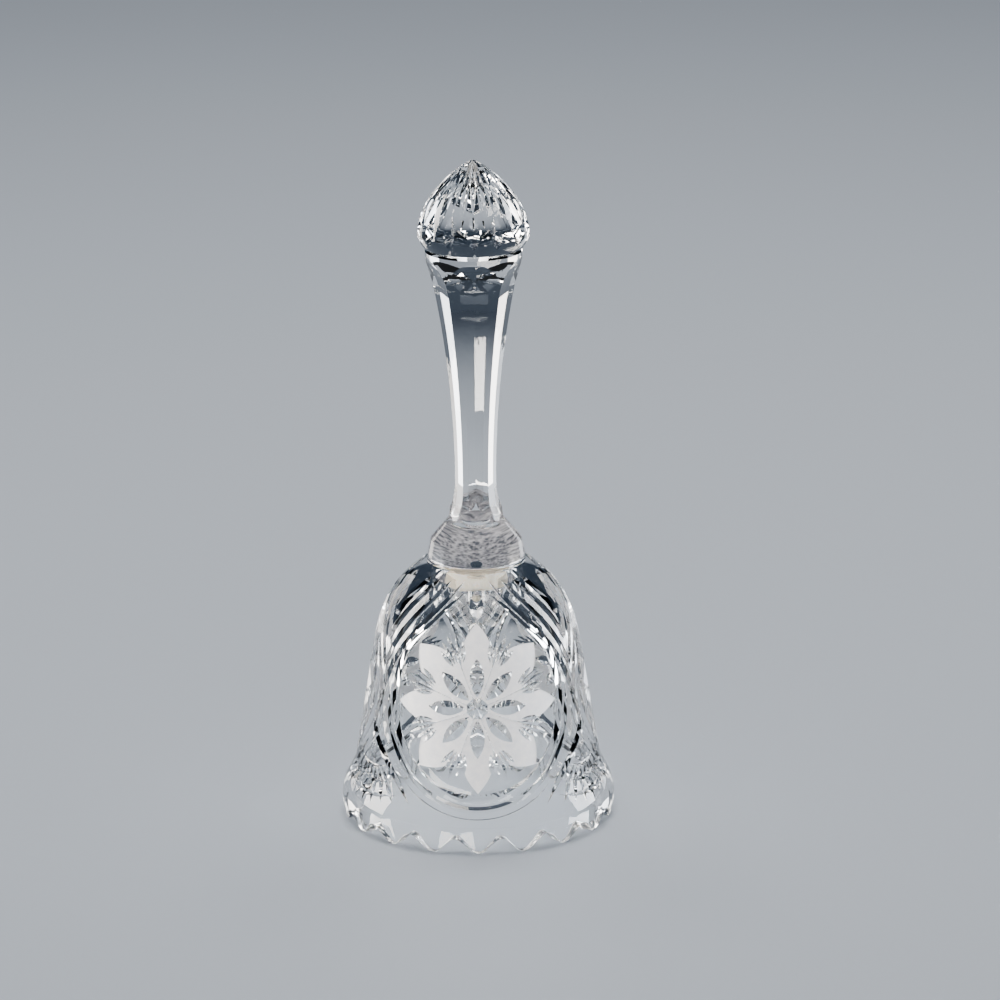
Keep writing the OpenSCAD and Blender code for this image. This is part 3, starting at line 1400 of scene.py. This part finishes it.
@dataclass
class Clapper:
    """The glass ball, and the wire eye cemented into it.

    Args:
        crystal: the ball's glass.
        wire: the eye's metal.
    """

    crystal: bpy.types.Material
    wire: bpy.types.Material
    shank_l: float = 5.0
    wire_r: float = 0.45
    hole_r: float = 0.6
    columns: int = 96

    def ball(self) -> bpy.types.Object:
        """Turns the ball, with the hole drilled for the eye's shank.

        Returns:
            The finished ball.
        """
        low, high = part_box("clapper_ball")
        eye_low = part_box("clapper_eye")[0][2] / MM
        radius = high[0] / MM
        centre = low[2] / MM + radius
        chamfer = 0.25
        lip = math.degrees(math.acos((self.hole_r + chamfer) / radius))
        lip_z = centre + radius * math.sin(math.radians(lip))
        outline = [(0, centre - radius), *arc((0, centre), radius, -90, lip, 64)[1:],
                   (self.hole_r + 0.05, lip_z - 0.2), (self.hole_r, lip_z - 0.4),
                   (self.hole_r, eye_low), (0, eye_low)]
        ball = lathe(outline, self.columns).to_object("glass_ball", self.crystal)
        face_outwards(ball)
        smooth(ball, 40)
        return ball

    def eye(self) -> bpy.types.Object:
        """Bends the eye: a closed wire ring, welded to its shank.

        Returns:
            The finished eye.
        """
        low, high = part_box("clapper_eye")
        outer_r, r = (high[1] - low[1]) / MM / 2, self.wire_r
        centre_z = high[2] / MM - outer_r
        ring, sides, turns = Solid(), 20, 64
        verts = []
        for i in range(turns):
            a = math.tau * i / turns
            for point_r, point_z in arc((outer_r - r, 0), r, 0, 360, sides)[:-1]:
                verts.append(Vector((point_z, point_r * math.sin(a), centre_z + point_r * math.cos(a))))
        ring.add(verts, ring_faces(turns, sides, closed=True))
        piece = ring.to_object("wire_eye", self.wire)
        shank_r = (high[0] - low[0]) / MM / 2
        bottom = low[2] / MM
        top = bottom + self.shank_l + r
        outline = [(0, bottom), (shank_r, bottom), (shank_r, top - 0.8),
                   (shank_r * 0.8, top - 0.2), (0, top)]
        shank = lathe(outline, 32)
        post = shank.to_object("tool", self.wire)
        face_outwards(piece)
        face_outwards(post)
        weld = piece.modifiers.new("weld", "BOOLEAN")
        weld.operation, weld.solver, weld.object = "UNION", "MANIFOLD", post
        bake_modifiers(piece)
        bpy.data.objects.remove(post)
        smooth(piece, 40)
        return piece


# ---------------------------------------------------------------------------
# Finishes
# ---------------------------------------------------------------------------

class Effects:
    """Shader node groups that more than one finish uses."""

    def __init__(self) -> None:
        """Builds each group once."""
        self.handling = self.make_handling()
        self.grain = self.make_grain()

    @staticmethod
    def start(name: str, inputs: dict[str, float], outputs: Sequence[str]) -> tuple[Graph, dict, dict]:
        """An empty group with float inputs and outputs.

        Args:
            name: the group's name.
            inputs: the inputs and their usual values.
            outputs: the outputs.

        Returns:
            The graph, its input sockets and its output sockets, by name.
        """
        group = bpy.data.node_groups.new(name, "ShaderNodeTree")
        for key, value in inputs.items():
            socket = group.interface.new_socket(key, in_out="INPUT", socket_type="NodeSocketFloat")
            socket.default_value = value
        for key in outputs:
            group.interface.new_socket(key, in_out="OUTPUT", socket_type="NodeSocketFloat")
        graph = Graph(group)
        return graph, graph.node("NodeGroupInput").outputs, graph.node("NodeGroupOutput").inputs

    def make_handling(self) -> bpy.types.NodeTree:
        """Wipe marks and light dust: a roughness, and a mask of where the surface is marked.

        Returns:
            The group, whose inputs are Scale, Clean and Marked.
        """
        graph, given, out = self.start("handling", {"Scale": 90.0, "Clean": 0.0, "Marked": 0.05},
                                       ("Roughness", "Mask"))
        finer = 9.0
        place = graph.node("ShaderNodeTexCoord")
        broad = graph.node("ShaderNodeTexNoise")
        broad.inputs["Detail"].default_value = 3
        graph.link(place.outputs["Object"], broad.inputs["Vector"])
        graph.link(given["Scale"], broad.inputs["Scale"])
        fine = graph.node("ShaderNodeTexNoise")
        fine.inputs["Detail"].default_value = 5
        graph.link(place.outputs["Object"], fine.inputs["Vector"])
        graph.link(graph.math("MULTIPLY", given["Scale"], finer), fine.inputs["Scale"])
        both = graph.math("MULTIPLY", broad.outputs["Fac"], fine.outputs["Fac"])
        mask = graph.node("ShaderNodeMapRange")
        least, most = 0.22, 0.45
        mask.inputs["From Min"].default_value = least
        mask.inputs["From Max"].default_value = most
        graph.link(both, mask.inputs["Value"])
        mix = graph.node("ShaderNodeMix")
        graph.link(mask.outputs[0], mix.inputs["Factor"])
        graph.link(given["Clean"], mix.inputs["A"])
        graph.link(given["Marked"], mix.inputs["B"])
        graph.link(mix.outputs[0], out["Roughness"])
        graph.link(mask.outputs[0], out["Mask"])
        return graph.group

    def make_grain(self) -> bpy.types.NodeTree:
        """Fine grain over broader lumps: a height, and a mask for colour.

        Returns:
            The group, whose inputs are Scale, Lumps, Share, and Stretch along Y.
        """
        values = {"Scale": 3000.0, "Lumps": 500.0, "Share": 0.5, "Stretch": 1.0}
        graph, given, out = self.start("grain", values, ("Height", "Mask"))
        place = graph.node("ShaderNodeTexCoord")
        across = graph.node("ShaderNodeCombineXYZ")
        for axis, size in (("X", 1.0), ("Y", given["Stretch"]), ("Z", 1.0)):
            graph.feed(across.inputs[axis], size)
        drawn = graph.node("ShaderNodeVectorMath", operation="MULTIPLY")
        graph.link(place.outputs["Object"], drawn.inputs[0])
        graph.link(across.outputs[0], drawn.inputs[1])
        speck = graph.node("ShaderNodeTexVoronoi")
        graph.link(drawn.outputs[0], speck.inputs["Vector"])
        graph.link(given["Scale"], speck.inputs["Scale"])
        lump = graph.node("ShaderNodeTexNoise")
        lump.inputs["Detail"].default_value = 6
        lump.inputs["Roughness"].default_value = 0.65
        graph.link(drawn.outputs[0], lump.inputs["Vector"])
        graph.link(given["Lumps"], lump.inputs["Scale"])
        mix = graph.node("ShaderNodeMix")
        graph.link(given["Share"], mix.inputs["Factor"])
        graph.link(speck.outputs["Distance"], mix.inputs["A"])
        graph.link(lump.outputs["Fac"], mix.inputs["B"])
        graph.link(mix.outputs[0], out["Height"])
        graph.link(lump.outputs["Fac"], out["Mask"])
        return graph.group


class Paint(Graph):
    """A material being built round one Principled shader."""

    def __init__(self, name: str, **constants: object) -> None:
        """Makes the material.

        Args:
            name: the material's name.
            constants: values for the shader's own sockets, with _ for a space.
        """
        self.material = bpy.data.materials.new(name)
        self.material.use_nodes = True
        super().__init__(self.material.node_tree)
        self.shader = next(n for n in self.group.nodes if n.type == "BSDF_PRINCIPLED")
        named = {socket.name.lower().replace(" ", "_"): socket for socket in self.shader.inputs}
        for key, value in constants.items():
            named[key].default_value = value

    def effect(self, group: bpy.types.NodeTree, **values: float) -> bpy.types.Node:
        """Places a shared effect with its own values.

        Args:
            group: the effect.
            values: its inputs, with their names in lower case.

        Returns:
            The effect's node.
        """
        made = self.node("ShaderNodeGroup", node_tree=group)
        for key, value in values.items():
            made.inputs[key.capitalize()].default_value = value
        return made

    def noise(self, scale: float, detail: float = 3.0) -> bpy.types.NodeSocket:
        """Noise in the piece's own coordinates.

        Args:
            scale: how many lumps there are to a metre, roughly.
            detail: how much fine noise is on them.

        Returns:
            The noise, from 0 to 1.
        """
        made = self.node("ShaderNodeTexNoise")
        made.inputs["Scale"].default_value = scale
        made.inputs["Detail"].default_value = detail
        self.link(self.node("ShaderNodeTexCoord").outputs["Object"], made.inputs["Vector"])
        return made.outputs["Fac"]

    def contrast(self, value: bpy.types.NodeSocket, low: float, high: float) -> bpy.types.NodeSocket:
        """Stretches a value.

        Args:
            value: the value.
            low: what becomes 0.
            high: what becomes 1.

        Returns:
            The stretched value.
        """
        made = self.node("ShaderNodeMapRange")
        made.inputs["From Min"].default_value = low
        made.inputs["From Max"].default_value = high
        self.link(value, made.inputs["Value"])
        return made.outputs[0]

    def tint(self, fac: bpy.types.NodeSocket, low: Sequence[float], high: Sequence[float]) -> None:
        """Colours the base between two colours.

        Args:
            fac: where the colour lies between them, from 0 to 1.
            low: the colour at 0.
            high: the colour at 1.
        """
        made = self.node("ShaderNodeMix", data_type="RGBA")
        self.link(fac, made.inputs["Factor"])
        made.inputs["A"].default_value = (*low, 1)
        made.inputs["B"].default_value = (*high, 1)
        self.link(made.outputs["Result"], self.shader.inputs["Base Color"])

    def relief(self, height: bpy.types.NodeSocket, strength: float, distance: float) -> None:
        """Bumps the surface.

        Args:
            height: the height, from 0 to 1.
            strength: the share of it that is used.
            distance: how high 1 stands, in mm.
        """
        made = self.node("ShaderNodeBump")
        made.inputs["Strength"].default_value = strength
        made.inputs["Distance"].default_value = distance * MM
        self.link(height, made.inputs["Height"])
        self.link(made.outputs[0], self.shader.inputs["Normal"])


@dataclass(frozen=True)
class Crystal:
    """Polished lead crystal, with faint waviness and a few wipe marks."""

    name: str = "lead_crystal"
    ior: float = 1.545
    marked: float = 0.05
    waviness: float = 0.03

    def make(self, effects: Effects) -> bpy.types.Material:
        """Builds the material.

        Args:
            effects: the shared shader groups.

        Returns:
            The material.
        """
        paint = Paint(self.name, ior=self.ior, transmission_weight=1.0, metallic=0.0)
        paint.tint(paint.noise(60), (0.975, 0.985, 0.99), (0.995, 1.0, 1.0))
        marks = paint.effect(effects.handling, scale=70.0, clean=0.0, marked=self.marked)
        paint.link(marks.outputs["Roughness"], paint.shader.inputs["Roughness"])
        paint.relief(paint.noise(130), self.waviness, 1.0)
        return paint.material


@dataclass(frozen=True)
class GroundGlass:
    """The etched face of the petals: fine, even and milky."""

    name: str = "etched_glass"
    ior: float = 1.545
    cloud: float = 0.84

    def make(self, effects: Effects) -> bpy.types.Material:
        """Builds the material.

        Args:
            effects: the shared shader groups.

        Returns:
            The material.
        """
        paint = Paint(self.name, ior=self.ior, transmission_weight=1 - self.cloud, metallic=0.0)
        grain = paint.effect(effects.grain, scale=5200.0, lumps=420.0, share=0.4)
        paint.tint(paint.contrast(grain.outputs["Mask"], 0.3, 0.7), (0.82, 0.83, 0.87), (0.98, 0.97, 0.97))
        rough = paint.effect(effects.handling, scale=180.0, clean=0.5, marked=0.72)
        paint.link(rough.outputs["Roughness"], paint.shader.inputs["Roughness"])
        paint.relief(grain.outputs["Height"], 0.35, 0.05)
        return paint.material


@dataclass(frozen=True)
class BondCement:
    """Set cement between glass: milky, with lighter and darker grains."""

    name: str = "bond_cement"

    def make(self, effects: Effects) -> bpy.types.Material:
        """Builds the material.

        Args:
            effects: the shared shader groups.

        Returns:
            The material.
        """
        paint = Paint(self.name, ior=1.5, transmission_weight=0.0, metallic=0.0)
        grain = paint.effect(effects.grain, scale=1500.0, lumps=1000.0, share=0.7, stretch=0.38)
        grains = paint.contrast(grain.outputs["Height"], 0.38, 0.6)
        paint.tint(grains, (0.16, 0.17, 0.21), (0.93, 0.91, 0.95))
        rough = paint.effect(effects.handling, scale=300.0, clean=0.35, marked=0.6)
        paint.link(rough.outputs["Roughness"], paint.shader.inputs["Roughness"])
        paint.relief(grain.outputs["Height"], 0.8, 0.2)
        return paint.material


@dataclass(frozen=True)
class ClearResin:
    """The clear resin under the knob, a little hazy."""

    name: str = "clear_resin"

    def make(self, effects: Effects) -> bpy.types.Material:
        """Builds the material.

        Args:
            effects: the shared shader groups.

        Returns:
            The material.
        """
        paint = Paint(self.name, ior=1.5, transmission_weight=1.0, metallic=0.0)
        paint.tint(paint.noise(400), (0.93, 0.95, 0.95), (0.99, 1.0, 1.0))
        haze = paint.effect(effects.handling, scale=400.0, clean=0.02, marked=0.2)
        paint.link(haze.outputs["Roughness"], paint.shader.inputs["Roughness"])
        paint.relief(paint.noise(900), 0.1, 0.05)
        return paint.material


@dataclass(frozen=True)
class Plaster:
    """Cream plaster: chalky and pitted, with painted shade that makes its hollows a little darker."""

    name: str = "plug_plaster"

    def make(self, effects: Effects) -> bpy.types.Material:
        """Builds the material.

        Args:
            effects: the shared shader groups.

        Returns:
            The material.
        """
        paint = Paint(self.name, transmission_weight=0.0, metallic=0.0)
        grain = paint.effect(effects.grain, scale=2200.0, lumps=600.0, share=0.6)
        # painted shade: the colour follows the relief's lumps and is darkest where the surface sinks into
        # hollows
        paint.tint(grain.outputs["Mask"], (0.86, 0.74, 0.55), (1.0, 0.94, 0.80))
        rough = paint.effect(effects.handling, scale=200.0, clean=0.8, marked=0.95)
        paint.link(rough.outputs["Roughness"], paint.shader.inputs["Roughness"])
        paint.relief(grain.outputs["Height"], 0.9, 0.25)
        return paint.material


@dataclass(frozen=True)
class PlatedWire:
    """Bright plated wire, dulled a little where it rubs."""

    name: str = "plated_wire"

    def make(self, effects: Effects) -> bpy.types.Material:
        """Builds the material.

        Args:
            effects: the shared shader groups.

        Returns:
            The material.
        """
        paint = Paint(self.name, metallic=1.0)
        wear = paint.effect(effects.handling, scale=500.0, clean=0.12, marked=0.42)
        paint.tint(wear.outputs["Mask"], (0.83, 0.83, 0.82), (0.55, 0.53, 0.49))
        paint.link(wear.outputs["Roughness"], paint.shader.inputs["Roughness"])
        paint.relief(paint.noise(2500, 4), 0.12, 0.05)
        return paint.material


# ---------------------------------------------------------------------------
# Studio
# ---------------------------------------------------------------------------

@dataclass
class Studio:
    """The floor, the soft lights and the camera.

    Args:
        floor_r: the floor's radius, in metres.
        aim: the point that the camera looks at, in metres.
        distance: the camera's distance from it, in metres.
        elevation: how far above the bell's level the camera stands, in degrees.
        lens: its focal length, in millimetres.
        lean: how far the bell leans in the picture, in degrees.
    """

    floor_r: float = 4.0
    aim: tuple[float, float, float] = (0.0068, 0.0, 0.09195)
    distance: float = 1.5
    elevation: float = 16.5
    lens: float = 192.0
    lean: float = 0.45

    def floor(self) -> None:
        """A plain pale floor."""
        mesh = bpy.data.meshes.new("floor")
        work = bmesh.new()
        bmesh.ops.create_circle(work, cap_ends=True, segments=128, radius=self.floor_r)
        work.to_mesh(mesh)
        work.free()
        piece = bpy.data.objects.new("floor", mesh)
        bpy.context.scene.collection.objects.link(piece)
        paint = Paint("floor_paper", roughness=0.6)
        paint.tint(paint.noise(2.0), (0.57, 0.62, 0.69), (0.60, 0.65, 0.72))
        mesh.materials.append(paint.material)
        piece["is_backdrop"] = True

    def softbox(self, name: str, place: Sequence[float], size: Sequence[float], power: float,
                colour: Sequence[float] = (1.0, 0.97, 0.93), only: bpy.types.Collection | None = None,
                mirrored: bool = True) -> None:
        """A large soft light that faces the bell.

        Args:
            name: the light's name.
            place: where it is, in metres.
            size: its width and height.
            power: its power in watts.
            colour: its colour.
            only: the pieces that it lights, where it doesn't light the floor.
            mirrored: whether it shows as a reflection.
        """
        light = bpy.data.lights.new(name, "AREA")
        light.shape, light.size, light.size_y = "RECTANGLE", size[0], size[1]
        light.energy, light.color = power, colour
        lamp = bpy.data.objects.new(name, light)
        lamp.location = place
        lamp.rotation_euler = (Vector(self.aim) - Vector(place)).to_track_quat("-Z", "Y").to_euler()
        lamp.visible_camera = False
        lamp.visible_glossy = mirrored
        if only:
            lamp.light_linking.receiver_collection = only
        bpy.context.scene.collection.objects.link(lamp)

    def lights(self) -> None:
        """The soft lights and the dim room."""
        bell, all_but_stem = (bpy.data.collections.new(name) for name in ("bell_pieces", "all_but_stem"))
        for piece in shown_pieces():
            bell.objects.link(piece)
            if piece.name != "cut_stem":
                all_but_stem.objects.link(piece)
        cool, warm = (0.93, 0.96, 1.0), (1.0, 0.95, 0.89)
        self.softbox("top_box", (0.0, 0.2, 1.6), (1.2, 1.2), 24)
        self.softbox("left_box", (-0.8, 0.1, 0.35), (0.4, 0.8), 14, warm, all_but_stem)
        self.softbox("right_box", (0.8, 0.15, 0.35), (0.4, 0.8), 13, cool, all_but_stem)
        self.softbox("back_left_box", (-0.192, 0.203, 0.08), (0.1, 0.16), 0.16, warm, bell)
        self.softbox("back_right_box", (0.192, 0.203, 0.08), (0.1, 0.16), 0.15, cool, bell)
        self.softbox("front_box", (-0.5, -1.4, 0.45), (0.8, 0.6), 22, warm, bell, mirrored=False)
        world = bpy.data.worlds.new("studio")
        bpy.context.scene.world = world
        world.use_nodes = True
        shade = world.node_tree.nodes["Background"]
        shade.inputs["Color"].default_value = (0.12, 0.16, 0.22, 1)
        shade.inputs["Strength"].default_value = 0.35
        bpy.context.scene.view_settings.look = "AgX - Medium High Contrast"

    def camera(self) -> None:
        """The camera, from the front and a little above."""
        data = bpy.data.cameras.new("camera")
        data.lens, data.sensor_width = self.lens, 36.0
        camera = bpy.data.objects.new("camera", data)
        tilt = math.radians(self.elevation)
        x, y, z = self.aim
        camera.location = (x, y - self.distance * math.cos(tilt), z + self.distance * math.sin(tilt))
        look_down = Matrix.Rotation(math.pi / 2 - tilt, 3, "X")
        roll = Matrix.Rotation(-math.radians(self.lean), 3, "Z")
        camera.rotation_euler = (look_down @ roll).to_euler()
        bpy.context.scene.collection.objects.link(camera)
        bpy.context.scene.camera = camera


# ---------------------------------------------------------------------------
# The bell
# ---------------------------------------------------------------------------

def settle(piece: bpy.types.Object, body: str, node: str) -> None:
    """Puts a piece on its body in place of its node.

    Args:
        piece: the finished piece.
        body: the body it rides on.
        node: the node it stands for.
    """
    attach(piece, body)
    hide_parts(node)
    LOG.info("%s on %s: %d faces", piece.name, body, len(piece.data.polygons))


def main() -> None:
    """Builds the bell, then the studio."""
    logging.basicConfig(level=logging.INFO, format="%(name)s: %(message)s")
    effects = Effects()
    crystal, etched = Crystal().make(effects), GroundGlass().make(effects)
    cement, plaster, wire = BondCement().make(effects), Plaster().make(effects), PlatedWire().make(effects)
    copies = copies_tree()
    settle(CutCup(crystal, etched, copies).build(), "bell", "bell_cup")
    settle(CutStem(crystal, copies).build(), "bell", "stem")
    settle(CutKnob(crystal, copies).build(), "bell", "knob")
    settle(CementFilm("stem_bond", cement, (7.4, 1.45, 4.2)).build(), "bell", "stem_bond")
    resin = ClearResin().make(effects)
    settle(CementFilm("knob_bond", resin, soak=-0.01).build(), "bell", "knob_bond")
    settle(PlasterPlug(plaster).build(), "bell", "anchor_plug")
    for link, body, node in Chain(wire).build():
        settle(link, body, node)
    clapper = Clapper(crystal, wire)
    settle(clapper.ball(), "clapper", "clapper_ball")
    settle(clapper.eye(), "clapper", "clapper_eye")
    studio = Studio()
    studio.floor()
    studio.lights()
    studio.camera()


if __name__ == "__main__":
    main()
